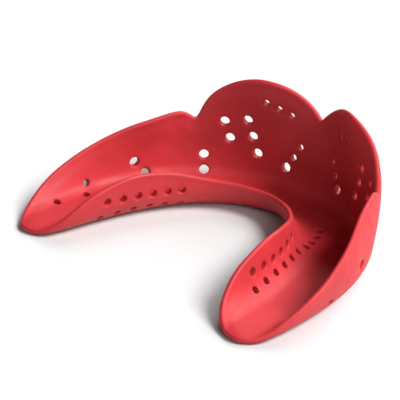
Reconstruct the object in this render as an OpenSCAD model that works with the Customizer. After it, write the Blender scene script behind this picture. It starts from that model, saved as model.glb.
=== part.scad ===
// Perforated upper mouthguard: one thin moulded trough that follows the row of teeth.
// X runs from side to side, -Y faces the lips, the two arms run towards +Y, +Z points to the gums.
// The origin is the centre of the footprint, on the surface that the guard stands on.
//
// The wall is a sheet with two coordinates. s runs along the tooth row: 0 at the midline,
// +/- arm_length at the tips. v runs across the trough: 0 in the middle of the floor, positive up
// the outer wall to the lip rim, negative up the inner wall to the tongue rim.

/* [Arch] */
// Length of one arm along the tooth row, from the midline to the tip
arm_length = 60; // [58:1:66]
// Direction of the tooth row at the tips, in degrees away from straight across
tip_heading = 84.5; // [82:0.5:88]
// Length of tooth row over which it turns backwards; from there on it runs straight
turn_length = 55; // [50:1:60]

/* [Wall] */
// Thickness of the moulded wall
wall = 1.6; // [1.4:0.1:2]
// Thickness at the rims
rim_wall = 1.1; // [0.8:0.1:1.4]
// Half of the flat floor at the midline and at the tips
floor_half = 2.1; // [1.8:0.1:2.6]
// Radius between the floor and the outer wall
outer_bend = 3.5; // [3:0.1:4.5]
// Radius between the floor and the inner wall
inner_bend = 5; // [4.4:0.1:5.4]

/* [Front shields] */
// Distance of each shield's crest from the midline
shield_centre = 10.4; // [9.6:0.1:11.2]
// Height of the shields, measured up the wall
shield_height = 27; // [25:0.5:30]
// Half of the width of each shield
shield_half = 12.1; // [11.5:0.1:12.7]

/* [Perforations] */
// Diameter of the wide holes in the outer wall
wide_hole = 2; // [1.5:0.1:2.3]
// Diameter of the holes in the inner wall's upper row
middle_hole = 1.7; // [1.2:0.1:2]
// Diameter of the narrow holes, which are the rest
narrow_hole = 1.4; // [1:0.1:1.7]

/* [Hidden] */
guard_colour = [0.83, 0.15, 0.19];

// The arm's section, given at stations evenly spaced from the midline to the tip:
// lean of the outer wall in degrees, and developed height of each rim
outer_lean = [72.5, 79.5, 76, 86.5, 77.5, 62, 60];
side_rim = [11, 13.5, 19, 18, 14.2, 9.5, 5.5];
inner_rim = [9.7, 10.7, 12.1, 14, 14.4, 11.9, 8.1];
// Lean of the inner wall at the midline and the tips, and what it gains halfway along an arm
inner_lean = 67;
inner_lean_gain = 21;
// Degrees by which each millimetre of the outer wall curls inwards
outer_curl = 1.35;
// What half of the flat floor gains halfway along an arm
floor_half_gain = 1.3;
// Stretch over which the wall thins towards a rim
rim_taper = 3;

// Shields: how far their round tops rise, and the exponent of their outline (2 is an ellipse)
shield_rise = 14.5;
shield_power = 1.75;
// How steeply a shield's outline drops away beside it, below the side wall's rim
shield_drop = 30;
// Rounding of the notches between the shields, and between a shield and a side wall
frenum_round = 0.3;
notch_round = 0.4;
// Dip of the rim at the notch behind each shield, and half its width
dip_depth = 1.8;
dip_half = 1.6;
dip_inset = 1;

// Stretch over which each rim comes down to the tip, and the exponent of that curve
outer_tip = 12.7;
inner_tip = 12.6;
tip_power = 2;

// Mesh density
spine_steps = 240;
rings_per_arm = 40;
tip_crowding = 1.35;
inner_facets = 6;
outer_facets = 10;
rim_facets = 4;
hole_facets = 32;
// A ring's points are denser on the floor and the bends: up to this share of each wall's height,
// and on the outer wall also up to this many bend radii past the floor
inner_dense_share = 0.65;
outer_dense_share = 0.6;
outer_dense_bends = 1.4;
// Stretch of rim on each side of a point that gives the rim's direction there
rim_reach = 1;
// Length of the cylinders that cut the perforations
bore_length = 3 * wall;

function clamp(x, low, high) = min(high, max(low, x));
function mix(a, b, t) = a + (b - a) * t;
function unit(a) = a / norm(a);
function share(s) = clamp(abs(s) / arm_length, 0, 1);

// Smooth curve through the values at the stations
function along(values, s) =
    let (last = len(values) - 1,
         x = share(s) * last,
         i = min(floor(x), last - 1),
         t = x - i,
         before = values[abs(i - 1)],
         after = i + 2 > last ? 2 * values[last] - values[i] : values[i + 2],
         slope_0 = (values[i + 1] - before) / 2,
         slope_1 = (after - values[i]) / 2)
    (1 + 2 * t) * pow(1 - t, 2) * values[i] + t * pow(1 - t, 2) * slope_0
    + t * t * (3 - 2 * t) * values[i + 1] + t * t * (t - 1) * slope_1;

// Tooth row in plan, for the arm on the +X side
function heading(s) = tip_heading * sin(90 * clamp(abs(s) / turn_length, 0, 1));
spine_step = arm_length / spine_steps;
spine = [for (i = 0, x = 0, y = 0; i <= spine_steps;
              h = heading((i + 0.5) * spine_step),
              x = x + spine_step * cos(h),
              y = y + spine_step * sin(h),
              i = i + 1) [i * spine_step, x, y]];
spine_x = [for (p = spine) [p[0], p[1]]];
spine_y = [for (p = spine) [p[0], p[2]]];
function side(s) = s < 0 ? -1 : 1;
function row_point(s) = [side(s) * lookup(abs(s), spine_x), lookup(abs(s), spine_y), wall / 2];
function outwards(s) = [side(s) * sin(heading(s)), -cos(heading(s)), 0];
function row_direction(s) = [cos(heading(s)), side(s) * sin(heading(s)), 0];

// Section of the middle of the wall at (s, v): distance outwards, height, tilt in degrees
function section(s, v) =
    let (outer = v >= 0,
         w = abs(v),
         flat = floor_half + floor_half_gain * sin(180 * share(s)),
         bend = outer ? outer_bend : inner_bend,
         lean = outer ? along(outer_lean, s) : inner_lean + inner_lean_gain * sin(180 * share(s)),
         arc = bend * lean * PI / 180,
         tilt = clamp(w - flat, 0, arc) / bend * 180 / PI,
         straight = max(0, w - flat - arc),
         curl = outer ? outer_curl * straight : 0,
         out = min(w, flat) + bend * sin(tilt) + straight * cos(lean + curl / 2),
         up = bend * (1 - cos(tilt)) + straight * sin(lean + curl / 2))
    [outer ? out : -out, up, outer ? tilt + curl : -tilt - curl];

function skin_normal(s, v) =
    let (tilt = section(s, v)[2])
    outwards(s) * sin(tilt) - [0, 0, cos(tilt)];
function wall_point(s, v) =
    let (p = section(s, v))
    row_point(s) + outwards(s) * p[0] + [0, 0, p[1]];

// Outline of the sheet
function smooth_max(a, b, k) = max(a, b) + k * ln(1 + exp(-abs(a - b) / k));
function tip_share(s, stretch) =
    let (x = clamp((abs(s) - arm_length + stretch) / stretch, 0, 1))
    pow(max(0, 1 - pow(x, tip_power)), 1 / tip_power);
function shield(s) =
    let (x = abs(sqrt(s * s + frenum_round * frenum_round) - shield_centre) / shield_half,
         base = shield_height - shield_rise)
    x < 1 ? base + shield_rise * sqrt(1 - pow(x, shield_power)) : base - shield_drop * (x - 1);
function notch_dip(s) =
    dip_depth * exp(-pow((abs(s) - shield_centre - shield_half + dip_inset) / dip_half, 2));
function high_rim(s) =
    (smooth_max(shield(s), along(side_rim, s), notch_round) - notch_dip(s)) * tip_share(s, outer_tip);
function low_rim(s) = -along(inner_rim, s) * tip_share(s, inner_tip);

// Half of the wall's thickness at (s, v)
function half_wall(s, v) =
    let (x = clamp(min(high_rim(s) - v, v - low_rim(s)) / rim_taper, 0, 1))
    mix(rim_wall, wall, x * x * (3 - 2 * x)) / 2;

// Half-round edge of the wall, from the outer skin to the inner one
function rim_arc(centre, normal, out, first, last) =
    [for (k = [first:last])
        let (a = 90 - 180 * k / rim_facets)
        centre + (normal * sin(a) + out * cos(a)) * rim_wall / 2];
function rim_direction(s, high) =
    let (s0 = max(s - rim_reach, -arm_length),
         s1 = min(s + rim_reach, arm_length),
         run = high ? wall_point(s1, high_rim(s1)) - wall_point(s0, high_rim(s0))
                    : wall_point(s0, low_rim(s0)) - wall_point(s1, low_rim(s1)))
    unit(cross(skin_normal(s, high ? high_rim(s) : low_rim(s)), run));

// Heights at which a ring is sampled: half of the points lie on the floor and the bend
function heights(s) =
    let (low = -low_rim(s),
         high = high_rim(s),
         low_bend = min(floor_half + inner_bend, inner_dense_share * low),
         high_bend = min(floor_half + outer_dense_bends * outer_bend, outer_dense_share * high),
         spread = function (f, bend, rim) f < 0.5 ? 2 * f * bend : mix(bend, rim, 2 * f - 1))
    concat([for (k = [inner_facets:-1:1]) -spread(k / inner_facets, low_bend, low)],
           [for (k = [0:outer_facets]) spread(k / outer_facets, high_bend, high)]);

// One closed loop of points round the wall
function ring(s) =
    let (v = heights(s),
         last = len(v) - 1,
         high = v[last],
         low = v[0])
    concat(
        [for (k = [0:last]) wall_point(s, v[k]) + skin_normal(s, v[k]) * half_wall(s, v[k])],
        rim_arc(wall_point(s, high), skin_normal(s, high), rim_direction(s, true), 1, rim_facets - 1),
        [for (k = [last:-1:0]) wall_point(s, v[k]) - skin_normal(s, v[k]) * half_wall(s, v[k])],
        rim_arc(wall_point(s, low), -skin_normal(s, low), rim_direction(s, false), 1, rim_facets - 1));

// At a tip both rims meet, so the loop closes up into one half-round arc
function tip_arc(s) =
    rim_arc(wall_point(s, 0), skin_normal(s, 0), row_direction(s) * side(s), 0, rim_facets);

across = inner_facets + outer_facets + 1;
loop_size = 2 * (across + rim_facets - 1);
ring_count = 2 * rings_per_arm - 1;
ring_s = [for (i = [1:ring_count])
    let (q = i / rings_per_arm - 1)
    side(q) * arm_length * (1 - pow(1 - abs(q), tip_crowding))];
ring_points = [for (s = ring_s) each ring(s)];
loose_points = concat(ring_points, tip_arc(-arm_length), tip_arc(arm_length));
first_tip = len(ring_points);
second_tip = first_tip + rim_facets + 1;

// Number of a loop's point j, or of the tip arc's point that it closes up into
function tip_index(j) =
    j < across ? 0
    : j < across + rim_facets - 1 ? j - across + 1
    : j < 2 * across + rim_facets - 1 ? rim_facets
    : loop_size - j;
function index(i, j) =
    let (k = j % loop_size)
    i < 0 ? first_tip + tip_index(k) : i >= ring_count ? second_tip + tip_index(k) : i * loop_size + k;
quads = [for (i = [-1:ring_count - 1], j = [0:loop_size - 1])
    [index(i, j), index(i, j + 1), index(i + 1, j + 1), index(i + 1, j)]];
triangles = [for (q = quads, t = [[q[0], q[1], q[2]], [q[0], q[2], q[3]]])
    if (t[0] != t[1] && t[1] != t[2] && t[2] != t[0]) t];

front_y = min([for (p = loose_points) p[1]]);
rear_y = max([for (p = loose_points) p[1]]);
centring = [0, -(front_y + rear_y) / 2, 0];

// Perforations of one arm as [s, v], in short slanting rows. The wide ones climb the shield in a
// row of three and a row of two, then follow the side wall in pairs; one lies low at the front.
wide_holes = concat(
    [for (i = [0:2]) [11.1 + 0.9 * i, 10.9 + 3.55 * i]],
    [for (i = [0:1]) [15.9 + 0.9 * i, 13.7 + 3.6 * i]],
    [for (i = [0:1]) [20.2, 6.7 + 3.3 * i]],
    [for (i = [0:1]) [30.5 + 1.9 * i, 6.9 + 2.9 * i]],
    [[5.8, 8.9]]);
// Upper row of the inner wall
middle_holes = [for (i = [0:5]) [26.4 + 3.93 * i, -10.7]];
// Three below the shield's crest, two beside the midline, three towards the tip, then the inner
// wall's lower row and the floor's row
narrow_holes = concat(
    [for (i = [0:2]) [5.3 + 2.15 * i, 20.3 + 1.15 * i]],
    [for (i = [0:1]) [4.6 - 1.1 * i, 11.3 + 2.5 * i]],
    [for (i = [0:1]) [43.4 - 1.1 * i, 4 + 3.2 * i]],
    [[49.9, 4.3]],
    [for (i = [0:5]) [26.4 + 4.1 * i, -7.7 + 0.11 * pow(i - 2.5, 2)]],
    [for (i = [0:3]) [14 + 2.75 * i, -2 - 1.2 * i]]);

module bore(s, v, diameter) {
    normal = skin_normal(s, v);
    translate(wall_point(s, v))
        rotate([0, acos(normal[2]), atan2(normal[1], normal[0])])
            cylinder(h = bore_length, d = diameter, center = true, $fn = hole_facets);
}

module mouthguard() {
    color(guard_colour)
        translate(centring)
            difference() {
                polyhedron(points = loose_points, faces = triangles);
                for (hand = [-1, 1]) {
                    for (hole = wide_holes) bore(hand * hole[0], hole[1], wide_hole);
                    for (hole = middle_holes) bore(hand * hole[0], hole[1], middle_hole);
                    for (hole = narrow_holes) bore(hand * hole[0], hole[1], narrow_hole);
                }
            }
}

mouthguard();
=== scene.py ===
"""A perforated mouthguard: the finished mesh, its moulded plastic, a pale floor, soft light, a camera."""

import math

import bmesh
import bpy
import numpy as np
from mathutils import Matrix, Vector
from mathutils.geometry import delaunay_2d_cdt
from mathutils.kdtree import KDTree


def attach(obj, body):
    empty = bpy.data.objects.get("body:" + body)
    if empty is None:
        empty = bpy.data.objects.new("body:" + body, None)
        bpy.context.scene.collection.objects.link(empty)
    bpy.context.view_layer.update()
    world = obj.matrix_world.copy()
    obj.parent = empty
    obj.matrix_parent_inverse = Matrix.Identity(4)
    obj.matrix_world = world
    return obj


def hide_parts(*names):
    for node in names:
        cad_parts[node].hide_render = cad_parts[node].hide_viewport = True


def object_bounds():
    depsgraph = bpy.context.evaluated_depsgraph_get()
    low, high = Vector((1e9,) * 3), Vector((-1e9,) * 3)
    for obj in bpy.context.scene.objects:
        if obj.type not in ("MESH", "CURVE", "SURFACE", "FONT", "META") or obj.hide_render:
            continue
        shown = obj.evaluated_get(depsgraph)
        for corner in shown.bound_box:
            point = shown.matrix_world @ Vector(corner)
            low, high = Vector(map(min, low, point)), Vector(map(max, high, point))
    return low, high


NODE = "mouthguard"
MM = 0.001

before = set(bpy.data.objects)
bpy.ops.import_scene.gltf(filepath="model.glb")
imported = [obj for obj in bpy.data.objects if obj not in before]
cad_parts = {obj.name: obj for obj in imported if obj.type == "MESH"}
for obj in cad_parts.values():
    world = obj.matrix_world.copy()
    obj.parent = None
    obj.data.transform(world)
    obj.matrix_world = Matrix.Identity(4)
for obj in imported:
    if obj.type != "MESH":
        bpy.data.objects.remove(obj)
cad_low, cad_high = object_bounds()

# ---------------------------------------------------------------------------
# The sheet, with the design's own dimensions in millimetres and degrees.
# s runs along the tooth row: 0 at the midline, +/- ARM at the tips. v runs
# across the trough: 0 in the middle of the floor, positive up the outer wall
# to the lip rim, negative up the inner wall to the tongue rim.
# ---------------------------------------------------------------------------
# Length of one arm, direction of the tooth row at its tip, and the length over which the row turns
ARM = 60.0
TIP_HEADING = 84.5
TURN_LENGTH = 55.0
ROW_STEPS = 2400

# Thickness of the wall and of its rims, and the stretch over which it thins towards a rim
WALL = 1.6
RIM_WALL = 1.1
RIM_TAPER = 3.0
# Half of the flat floor at the midline and the tips, and what it gains halfway along an arm
FLOOR_HALF = 2.1
FLOOR_HALF_GAIN = 1.3
# Radius between the floor and each wall
OUTER_BEND = 3.5
INNER_BEND = 5.0

# Front shields: place of the crest, height, half width, rise of the round top, exponent of its
# outline (2 is an ellipse), and how steeply the outline drops away beside the shield
SHIELD_CENTRE = 10.4
SHIELD_HEIGHT = 27.0
SHIELD_HALF = 12.1
SHIELD_RISE = 14.5
SHIELD_POWER = 1.75
SHIELD_DROP = 30.0

# Lean of the outer wall and developed height of each rim, at stations evenly spaced from the
# midline to the tip
OUTER_LEAN = (72.5, 79.5, 76, 86.5, 77.5, 62, 60)
SIDE_RIM = (11, 13.5, 19, 18, 14.2, 9.5, 5.5)
INNER_RIM = (9.7, 10.7, 12.1, 14, 14.4, 11.9, 8.1)
# Lean of the inner wall at the midline and the tips, and what it gains halfway along an arm
INNER_LEAN = 67.0
INNER_LEAN_GAIN = 21.0
# Degrees by which each millimetre of the outer wall curls inwards
OUTER_CURL = 1.35

# Rounding of the notch between the shields, and of those between a shield and a side wall
FRENUM_ROUND = 0.3
NOTCH_ROUND = 0.4
# Dip of the rim at the notch behind each shield: depth, half width, distance inside the shield's foot
DIP_DEPTH = 1.8
DIP_HALF = 1.6
DIP_INSET = 1.0
# Stretch over which each rim comes down to the tip, and the exponent of that curve
OUTER_TIP = 12.7
INNER_TIP = 12.6
TIP_POWER = 2.0

# Diameters of the perforations, and the places of one arm's as (s, v)
WIDE_HOLE = 2.0
MIDDLE_HOLE = 1.7
NARROW_HOLE = 1.4
# Up the shield in a row of three and a row of two, in pairs along the side wall, one low at the front
WIDE_HOLES = (
    [(11.1 + 0.9 * i, 10.9 + 3.55 * i) for i in range(3)]
    + [(15.9 + 0.9 * i, 13.7 + 3.6 * i) for i in range(2)]
    + [(20.2, 6.7 + 3.3 * i) for i in range(2)]
    + [(30.5 + 1.9 * i, 6.9 + 2.9 * i) for i in range(2)]
    + [(5.8, 8.9)]
)
# Upper row of the inner wall
MIDDLE_HOLES = [(26.4 + 3.93 * i, -10.7) for i in range(6)]
# Three below the shield's crest, two beside the midline, three towards the tip, then the inner
# wall's lower row and the floor's row
NARROW_HOLES = (
    [(5.3 + 2.15 * i, 20.3 + 1.15 * i) for i in range(3)]
    + [(4.6 - 1.1 * i, 11.3 + 2.5 * i) for i in range(2)]
    + [(43.4 - 1.1 * i, 4 + 3.2 * i) for i in range(2)]
    + [(49.9, 4.3)]
    + [(26.4 + 4.1 * i, -7.7 + 0.11 * (i - 2.5) ** 2) for i in range(6)]
    + [(14 + 2.75 * i, -2 - 1.2 * i) for i in range(4)]
)


def share(s):
    """How far along its arm a point lies, from 0 at the midline to 1 at the tip."""
    return np.clip(np.abs(s) / ARM, 0, 1)


def along(values, s):
    """Smooth curve through the values at the stations, level at the midline."""
    y = np.array([values[1], *values, 2 * values[-1] - values[-2]], float)
    last = len(values) - 1
    x = share(s) * last
    i = np.minimum(x.astype(int), last - 1)
    t = x - i
    before, here, after, beyond = (y[i + k] for k in range(4))
    slope_0 = (after - before) / 2
    slope_1 = (beyond - here) / 2
    return (
        (1 + 2 * t) * (1 - t) ** 2 * here
        + t * (1 - t) ** 2 * slope_0
        + t * t * (3 - 2 * t) * after
        + t * t * (t - 1) * slope_1
    )


def heading(s):
    """Direction of the tooth row in plan, in radians away from straight across."""
    turned = np.clip(np.abs(s) / TURN_LENGTH, 0, 1)
    return np.radians(TIP_HEADING * np.sin(math.pi / 2 * turned))


def tooth_row():
    """The tooth row of one arm in plan, as s and its running x and y."""
    s = np.linspace(0, ARM, ROW_STEPS + 1)
    middle = heading((s[:-1] + s[1:]) / 2)
    step = ARM / ROW_STEPS
    x = np.concatenate([[0], np.cumsum(np.cos(middle)) * step])
    y = np.concatenate([[0], np.cumsum(np.sin(middle)) * step])
    return s, x, y


ROW = tooth_row()


def wall(s, v):
    """Points in the middle of the wall, and its normals towards the outer skin."""
    s, v = np.broadcast_arrays(np.asarray(s, float), np.asarray(v, float))
    outer = v >= 0
    side = np.where(s < 0, -1.0, 1.0)
    w = np.abs(v)
    flat = FLOOR_HALF + FLOOR_HALF_GAIN * np.sin(math.pi * share(s))
    bend = np.where(outer, OUTER_BEND, INNER_BEND)
    inner_lean = INNER_LEAN + INNER_LEAN_GAIN * np.sin(math.pi * share(s))
    lean = np.radians(np.where(outer, along(OUTER_LEAN, s), inner_lean))
    tilt = np.clip(w - flat, 0, bend * lean) / bend
    straight = np.maximum(0, w - flat - bend * lean)
    curl = np.where(outer, np.radians(OUTER_CURL) * straight, 0)
    out = np.minimum(w, flat) + bend * np.sin(tilt) + straight * np.cos(lean + curl / 2)
    up = bend * (1 - np.cos(tilt)) + straight * np.sin(lean + curl / 2)
    sign = np.where(outer, 1.0, -1.0)
    out, tilt = out * sign, (tilt + curl) * sign
    head = heading(s)
    out_x, out_y = side * np.sin(head), -np.cos(head)
    row_x = side * np.interp(np.abs(s), ROW[0], ROW[1])
    row_y = np.interp(np.abs(s), ROW[0], ROW[2])
    point = np.stack([row_x + out_x * out, row_y + out_y * out, WALL / 2 + up], -1)
    normal = np.stack([out_x * np.sin(tilt), out_y * np.sin(tilt), -np.cos(tilt)], -1)
    return point, normal


def smooth_max(a, b, k):
    """The larger of two values, rounded over about k where they cross."""
    return np.maximum(a, b) + k * np.log1p(np.exp(-np.abs(a - b) / k))


def tip_share(s, stretch):
    """Factor that brings a rim down to the floor over the last stretch of an arm."""
    x = np.clip((np.abs(s) - ARM + stretch) / stretch, 0, 1)
    return np.maximum(0, 1 - x**TIP_POWER) ** (1 / TIP_POWER)


def shield(s):
    """Developed height of the two front shields' outline."""
    x = np.abs(np.hypot(s, FRENUM_ROUND) - SHIELD_CENTRE) / SHIELD_HALF
    base = SHIELD_HEIGHT - SHIELD_RISE
    top = base + SHIELD_RISE * np.sqrt(np.maximum(0, 1 - x**SHIELD_POWER))
    return np.where(x < 1, top, base - SHIELD_DROP * (x - 1))


def high_rim(s):
    """Developed height of the lip rim."""
    from_dip = (np.abs(s) - SHIELD_CENTRE - SHIELD_HALF + DIP_INSET) / DIP_HALF
    rim = smooth_max(shield(s), along(SIDE_RIM, s), NOTCH_ROUND)
    return (rim - DIP_DEPTH * np.exp(-(from_dip**2))) * tip_share(s, OUTER_TIP)


def low_rim(s):
    """Developed height of the tongue rim, below zero."""
    return -along(INNER_RIM, s) * tip_share(s, INNER_TIP)


def half_wall(s, v):
    """Half of the wall's thickness, which thins towards the rims."""
    x = np.clip(np.minimum(high_rim(s) - v, v - low_rim(s)) / RIM_TAPER, 0, 1)
    return (RIM_WALL + (WALL - RIM_WALL) * x * x * (3 - 2 * x)) / 2


def skin(s, v, face_side):
    """Points on one skin: face_side is 1 for the outer skin and -1 for the inner one."""
    point, normal = wall(s, v)
    return point + normal * (face_side * half_wall(s, v))[..., None]


# ---------------------------------------------------------------------------
# The mesh: both skins are triangulated in (s, v), and rims and bores join them
# ---------------------------------------------------------------------------
# Edge length of the triangles, and how far the grid keeps from the rim and the bores
GRID = 0.62
CLEAR_OF_EDGES = 0.4
# The grid's lowest and highest rows, which lie beyond both rims
GRID_LOW = -20
GRID_HIGH = 32
# Points at which the outline is measured on each quarter, and how often its directions are smoothed
OUTLINE_POINTS = 3001
SMOOTHING_PASSES = 2
RIM_STEPS = 10
BORE_SIDES = 28
BORE_FILLET = 0.22
FILLET_STEPS = 3
# No bore reaches this far from its centre in s or v
BORE_REACH = 3
# Steps of the search for a bore's edge on the skin, and the step that measures its slope
SEARCH_STEPS = 6
SLOPE_STEP = 1e-4
# Keeps a level direction defined where the wall's normal is upright
TINY = 1e-9
# Distance within which the triangulation joins two points
MERGE_DISTANCE = 1e-7


def outline():
    """The sheet's outline as (s, v) rows, evenly spaced along its real length."""
    q = np.linspace(0, 1, OUTLINE_POINTS)
    s = ARM * np.sin(q * math.pi / 2)
    back = s[-2::-1]
    dense_s = np.concatenate([s, back, -s[1:], -back])
    dense_v = np.concatenate([high_rim(s), low_rim(back), low_rim(s[1:]), high_rim(back)])
    points = wall(dense_s, dense_v)[0]
    run = np.concatenate([[0], np.cumsum(np.linalg.norm(np.diff(points, axis=0), axis=1))])
    count = 2 * round(run[-1] / GRID / 2)
    at = np.linspace(0, run[-1], count + 1)[:-1]
    return np.stack([np.interp(at, run, dense_s), np.interp(at, run, dense_v)], -1)


def rim_directions(loop):
    """Unit vectors that point out of the sheet along its outline, in the sheet's own plane."""
    points, normals = wall(loop[:, 0], loop[:, 1])
    run = np.roll(points, -1, 0) - np.roll(points, 1, 0)
    out = np.cross(normals, run)
    out /= np.linalg.norm(out, axis=1, keepdims=True)
    for _ in range(SMOOTHING_PASSES):
        out = (np.roll(out, 1, 0) + 2 * out + np.roll(out, -1, 0)) / 4
    out -= normals * np.sum(out * normals, 1, keepdims=True)
    return points, normals, out / np.linalg.norm(out, axis=1, keepdims=True)


def circle_on_skin(hole, radius, face_side):
    """(s, v) where a cylinder of that radius round the hole's axis meets one skin, and the axis."""
    s0, v0 = hole
    centre, axis = wall(s0, v0)
    first = np.array([TINY - axis[1], axis[0], 0])
    first /= np.linalg.norm(first)
    second = np.cross(axis, first)
    turn = np.linspace(0, 2 * math.pi, BORE_SIDES, endpoint=False)
    want = radius * np.stack([np.cos(turn), np.sin(turn)], -1)
    basis = np.stack([first, second], -1)

    def seen(s, v):
        return (skin(s, v, face_side) - centre) @ basis

    sv = np.tile([s0, v0], (BORE_SIDES, 1)).astype(float)
    for _ in range(SEARCH_STEPS):
        here = seen(sv[:, 0], sv[:, 1])
        by_s = (seen(sv[:, 0] + SLOPE_STEP, sv[:, 1]) - here) / SLOPE_STEP
        by_v = (seen(sv[:, 0], sv[:, 1] + SLOPE_STEP) - here) / SLOPE_STEP
        slope = np.stack([by_s, by_v], -1)
        sv += np.linalg.solve(slope, (want - here)[..., None])[..., 0]
    return sv, axis


def skin_grid(loops):
    """Points of a triangular grid inside the outline, clear of every loop."""
    tree = KDTree(sum(len(loop) for loop in loops))
    n = 0
    for loop in loops:
        for s, v in loop:
            tree.insert((s, v, 0), n)
            n += 1
    tree.balance()
    kept = []
    rows = np.arange(GRID_LOW, GRID_HIGH, GRID * math.sqrt(3) / 2)
    for k, v in enumerate(rows):
        for s in np.arange(-ARM, ARM, GRID) + GRID / 2 * (k % 2) + GRID / 4:
            if low_rim(s) < v < high_rim(s) and tree.find((s, v, 0))[2] > CLEAR_OF_EDGES:
                kept.append((s, v))
    return np.array(kept)


def inside(points, loop):
    """Which points lie inside a closed loop."""
    a, b = loop, np.roll(loop, -1, 0)
    px, py = points[:, 0, None], points[:, 1, None]
    crosses = (a[:, 1] > py) != (b[:, 1] > py)
    with np.errstate(divide="ignore", invalid="ignore"):
        x = a[:, 0] + (py - a[:, 1]) / (b[:, 1] - a[:, 1]) * (b[:, 0] - a[:, 0])
    return (crosses & (px < x)).sum(1) % 2 == 1


def triangulate(rim, bores):
    """Triangles of one skin: its (s, v) points, loops first and in order, and their indices."""
    loops = [rim, *bores]
    points = np.concatenate([*loops, skin_grid(loops)])
    edges, first = [], 0
    for loop in loops:
        n = len(loop)
        edges += [(first + k, first + (k + 1) % n) for k in range(n)]
        first += n
    made = delaunay_2d_cdt([Vector(p) for p in points], edges, [], 0, MERGE_DISTANCE)
    made_faces, made_from = made[2], made[3]
    source = np.array([originals[0] for originals in made_from])
    faces = source[np.array(made_faces)]
    middle = points[faces].mean(1)
    keep = inside(middle, rim)
    for loop in bores:
        near = keep & (np.abs(middle - loop.mean(0)).max(1) < BORE_REACH)
        keep[near] &= ~inside(middle[near], loop)
    return points, faces[keep]


class Builder:
    """Collects points in millimetres and faces, and turns them into one mesh."""

    def __init__(self):
        self.points = []
        self.faces = []
        self.count = 0

    def add(self, points):
        """Keep the points, and give their ids."""
        ids = np.arange(self.count, self.count + len(points))
        self.points.append(points)
        self.count += len(points)
        return ids

    def band(self, a, b):
        """Quads between two closed loops of equal length."""
        for k in range(len(a)):
            n = (k + 1) % len(a)
            self.faces.append((int(a[k]), int(a[n]), int(b[n]), int(b[k])))

    def mesh(self, name, centring):
        """The finished mesh in metres, smooth, with its normals outwards."""
        points = (np.concatenate(self.points) + centring) * MM
        mesh = bpy.data.meshes.new(name)
        mesh.from_pydata(points.tolist(), [], self.faces)
        bm = bmesh.new()
        bm.from_mesh(mesh)
        bmesh.ops.recalc_face_normals(bm, faces=bm.faces)
        for face in bm.faces:
            face.smooth = True
        bm.to_mesh(mesh)
        bm.free()
        return mesh


def all_holes():
    """Every perforation of both arms as (s, v) and its radius."""
    found = []
    for hand in (-1, 1):
        found += [((hand * s, v), WIDE_HOLE / 2) for s, v in WIDE_HOLES]
        found += [((hand * s, v), MIDDLE_HOLE / 2) for s, v in MIDDLE_HOLES]
        found += [((hand * s, v), NARROW_HOLE / 2) for s, v in NARROW_HOLES]
    return found


def add_fillet(build, edge, at, radius, face_side):
    """Rings that round a bore's edge, from the skin into the bore."""
    for step in range(1, FILLET_STEPS + 1):
        turn = math.pi / 2 * step / FILLET_STEPS
        reach = radius + BORE_FILLET * (1 - math.sin(turn))
        sv, axis = circle_on_skin(at, reach, face_side)
        sink = BORE_FILLET * (1 - math.cos(turn)) * face_side
        ring = build.add(skin(sv[:, 0], sv[:, 1], face_side) - axis * sink)
        build.band(edge, ring)
        edge = ring
    return edge


def add_skin(build, rim, holes, face_side):
    """One skin with its rounded bore edges: the ids along the rim, and those of each bore."""
    bores = [circle_on_skin(at, radius + BORE_FILLET, face_side)[0] for at, radius in holes]
    points, faces = triangulate(rim, bores)
    ids = build.add(skin(points[:, 0], points[:, 1], face_side))
    build.faces += [tuple(int(ids[i]) for i in face) for face in faces]
    bore_ids = []
    for k, (at, radius) in enumerate(holes):
        start = len(rim) + k * BORE_SIDES
        edge = ids[start : start + BORE_SIDES]
        bore_ids.append(add_fillet(build, edge, at, radius, face_side))
    return ids[: len(rim)], bore_ids


def add_rim(build, rim, outer_ids, inner_ids):
    """The half-round edge of the wall, from the outer skin to the inner one."""
    points, normals, out = rim_directions(rim)
    edge = outer_ids
    for step in range(1, RIM_STEPS):
        turn = math.pi / 2 - math.pi * step / RIM_STEPS
        swing = normals * math.sin(turn) + out * math.cos(turn)
        ring = build.add(points + swing * RIM_WALL / 2)
        build.band(edge, ring)
        edge = ring
    build.band(edge, inner_ids)


def build_guard():
    """The guard as one closed mesh, centred from front to back like the CAD part."""
    holes = all_holes()
    rim = outline()
    build = Builder()
    outer_rim, outer_bores = add_skin(build, rim, holes, 1)
    inner_rim, inner_bores = add_skin(build, rim, holes, -1)
    for outer_edge, inner_edge in zip(outer_bores, inner_bores):
        build.band(outer_edge, inner_edge)
    add_rim(build, rim, outer_rim, inner_rim)
    y = np.concatenate(build.points)[:, 1]
    centring = np.array([0, -(y.min() + y.max()) / 2, 0])
    guard = bpy.data.objects.new("guard_shell", build.mesh("guard_shell", centring))
    bpy.context.scene.collection.objects.link(guard)
    return guard


# ---------------------------------------------------------------------------
# Materials
# ---------------------------------------------------------------------------
# Noise scales, in features per metre: colour, roughness, surface grain, and waviness of the wall
COLOUR_SCALE = 90
ROUGHNESS_SCALE = 260
GRAIN_SCALE = 2400
WAVE_SCALE = 130
DEEP_RED = (0.46, 0.025, 0.032)
PALE_RED = (0.54, 0.033, 0.041)
SMOOTHEST = 0.48
ROUGHEST = 0.60
# How far light spreads inside the plastic, in metres
SCATTER = 0.0015
SCATTER_BY_COLOUR = (1.0, 0.15, 0.1)
FLOOR_GREY = 0.64
FLOOR_ROUGHNESS = 0.8


def noise(tree, scale, detail):
    """Noise fixed to the object."""
    place = tree.nodes.new("ShaderNodeTexCoord")
    node = tree.nodes.new("ShaderNodeTexNoise")
    node.inputs["Scale"].default_value = scale
    node.inputs["Detail"].default_value = detail
    tree.links.new(place.outputs["Object"], node.inputs["Vector"])
    return node.outputs["Fac"]


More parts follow.
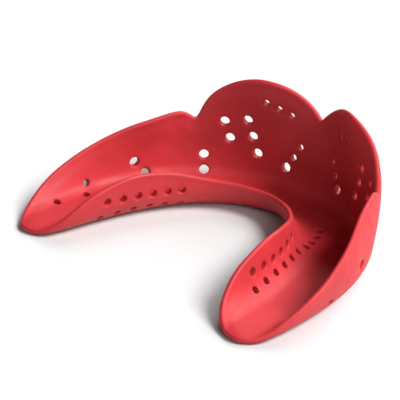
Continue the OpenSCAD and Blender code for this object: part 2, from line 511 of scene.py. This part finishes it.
def ramp(tree, source, low, high, at=(0.35, 0.65)):
    """A colour that runs from low to high as the source goes through the two places."""
    node = tree.nodes.new("ShaderNodeValToRGB")
    for element, where, colour in zip(node.color_ramp.elements, at, (low, high)):
        element.position = where
        element.color = (*colour, 1)
    tree.links.new(source, node.inputs["Fac"])
    return node.outputs["Color"]


def bump(tree, height, strength, distance):
    """A bump node, whose distance is in metres."""
    node = tree.nodes.new("ShaderNodeBump")
    node.inputs["Strength"].default_value = strength
    node.inputs["Distance"].default_value = distance
    tree.links.new(height, node.inputs["Height"])
    return node


def moulded_plastic():
    """Red semi-gloss plastic, slightly translucent, with a fine grain and a faint waviness."""
    material = bpy.data.materials.new("guard_plastic")
    material.use_nodes = True
    tree = material.node_tree
    shader = tree.nodes["Principled BSDF"]
    colour = ramp(tree, noise(tree, COLOUR_SCALE, 3), DEEP_RED, PALE_RED)
    tree.links.new(colour, shader.inputs["Base Color"])
    rough = ramp(tree, noise(tree, ROUGHNESS_SCALE, 4), (SMOOTHEST,) * 3, (ROUGHEST,) * 3)
    tree.links.new(rough, shader.inputs["Roughness"])
    shader.inputs["Subsurface Weight"].default_value = 0.2
    shader.inputs["Subsurface Radius"].default_value = SCATTER_BY_COLOUR
    shader.inputs["Subsurface Scale"].default_value = SCATTER
    shader.inputs["Specular IOR Level"].default_value = 0.3
    shader.inputs["IOR"].default_value = 1.5

    grain = bump(tree, noise(tree, GRAIN_SCALE, 3), strength=0.2, distance=0.0002)
    waves = bump(tree, noise(tree, WAVE_SCALE, 2), strength=0.25, distance=0.0006)
    tree.links.new(grain.outputs["Normal"], waves.inputs["Normal"])
    tree.links.new(waves.outputs["Normal"], shader.inputs["Normal"])
    return material


def floor_material():
    """Plain matt grey, which the lamps bring up to white."""
    material = bpy.data.materials.new("floor")
    material.use_nodes = True
    shader = material.node_tree.nodes["Principled BSDF"]
    shader.inputs["Base Color"].default_value = (FLOOR_GREY, FLOOR_GREY, FLOOR_GREY, 1)
    shader.inputs["Roughness"].default_value = FLOOR_ROUGHNESS
    return material


guard = build_guard()
guard.data.materials.append(moulded_plastic())
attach(guard, "root")
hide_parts(NODE)

# ---------------------------------------------------------------------------
# Stage, light and camera
# ---------------------------------------------------------------------------
FLOOR_SIZE = 4
# Name of each lamp, its azimuth and elevation, how many degrees wide it looks, and its strength
LAMPS = (
    ("key", 294, 46, 26, 4.35),
    ("far", 11, 37, 36, 2.05),
    ("near", 248, 33, 30, 1.0),
    ("fill", 150, 25, 37, 0.15),
)
AMBIENT = 0.03
BACKDROP = 1.0

# Where the camera stands, as for the views, its distance in metres and its focal length in mm
AZIMUTH = 226.6
ELEVATION = 26.1
DISTANCE = 0.3568
LENS = 167.8
# What that line runs through, and how far the camera is moved to its right and upwards, in metres
AIM = Vector((0, 0.0032, 0.0068))
ASIDE = (-0.0029, 0.0024)

bpy.ops.mesh.primitive_plane_add(size=FLOOR_SIZE, location=(0, 0, cad_low.z))
floor = bpy.context.object
floor.name = "floor"
floor.data.materials.append(floor_material())


def backwards(azimuth, elevation):
    """Unit vector from the guard towards a lamp or a camera, with the azimuth as for the views."""
    a, e = math.radians(azimuth), math.radians(elevation)
    return Vector((math.sin(a) * math.cos(e), -math.cos(a) * math.cos(e), math.sin(e)))


def soft_light(name, azimuth, elevation, spread, strength):
    """An even light from a soft source that looks spread degrees wide."""
    back = backwards(azimuth, elevation)
    data = bpy.data.lights.new(name, "SUN")
    data.angle = math.radians(spread)
    data.energy = strength
    lamp = bpy.data.objects.new(name, data)
    lamp.location = back
    lamp.rotation_euler = back.to_track_quat("Z", "Y").to_euler()
    bpy.context.scene.collection.objects.link(lamp)


def studio_world(ambient, backdrop):
    """A white world: its ambient light is weak, and its backdrop is as pale as the floor."""
    world = bpy.data.worlds.new("studio")
    world.use_nodes = True
    nodes, links = world.node_tree.nodes, world.node_tree.links
    path = nodes.new("ShaderNodeLightPath")
    strength = nodes.new("ShaderNodeMapRange")
    strength.inputs["To Min"].default_value = ambient
    strength.inputs["To Max"].default_value = backdrop
    links.new(path.outputs["Is Camera Ray"], strength.inputs["Value"])
    nodes["Background"].inputs["Color"].default_value = (1, 1, 1, 1)
    links.new(strength.outputs["Result"], nodes["Background"].inputs["Strength"])
    return world


def studio_camera():
    """The camera, which looks along the line towards AIM from a point moved by ASIDE."""
    data = bpy.data.cameras.new("camera")
    data.lens = LENS
    camera = bpy.data.objects.new("camera", data)
    back = backwards(AZIMUTH, ELEVATION)
    across = Vector((0, 0, 1)).cross(back).normalized()
    upward = back.cross(across)
    camera.location = AIM + back * DISTANCE + across * ASIDE[0] + upward * ASIDE[1]
    camera.rotation_euler = back.to_track_quat("Z", "Y").to_euler()
    bpy.context.scene.collection.objects.link(camera)
    return camera


for lamp in LAMPS:
    soft_light(*lamp)

scene = bpy.context.scene
scene.view_settings.view_transform = "Standard"
scene.world = studio_world(AMBIENT, BACKDROP)
scene.camera = studio_camera()
